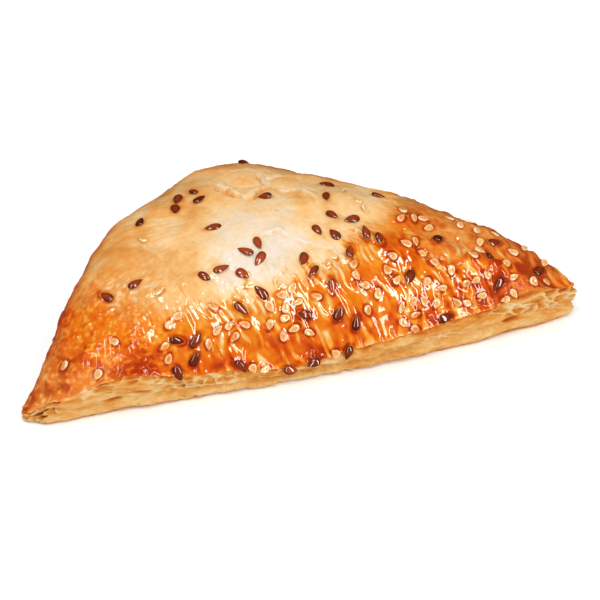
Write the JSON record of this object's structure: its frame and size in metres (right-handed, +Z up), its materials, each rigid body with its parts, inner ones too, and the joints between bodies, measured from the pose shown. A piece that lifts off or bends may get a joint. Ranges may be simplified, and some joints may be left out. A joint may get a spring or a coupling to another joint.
{
  "type": "khachapuri",
  "caption": "Triangular puff-pastry khachapuri: puffed crust over cut layered edges, flax and sesame seeds fused to its top, on a flat underside.",
  "frame": {"origin": "on the flat underside, under the centre of the bounding box", "axes": "+X along the long cut side, +Y towards the back corner, +Z up out of the crust"},
  "size_m": [0.1666, 0.095, 0.0357],
  "materials": {
    "crust": "baked dough with a satin egg glaze, browner along the front"
  },
  "bodies": {
    "root": {"pastry": "crust"}
  },
  "joints": []
}
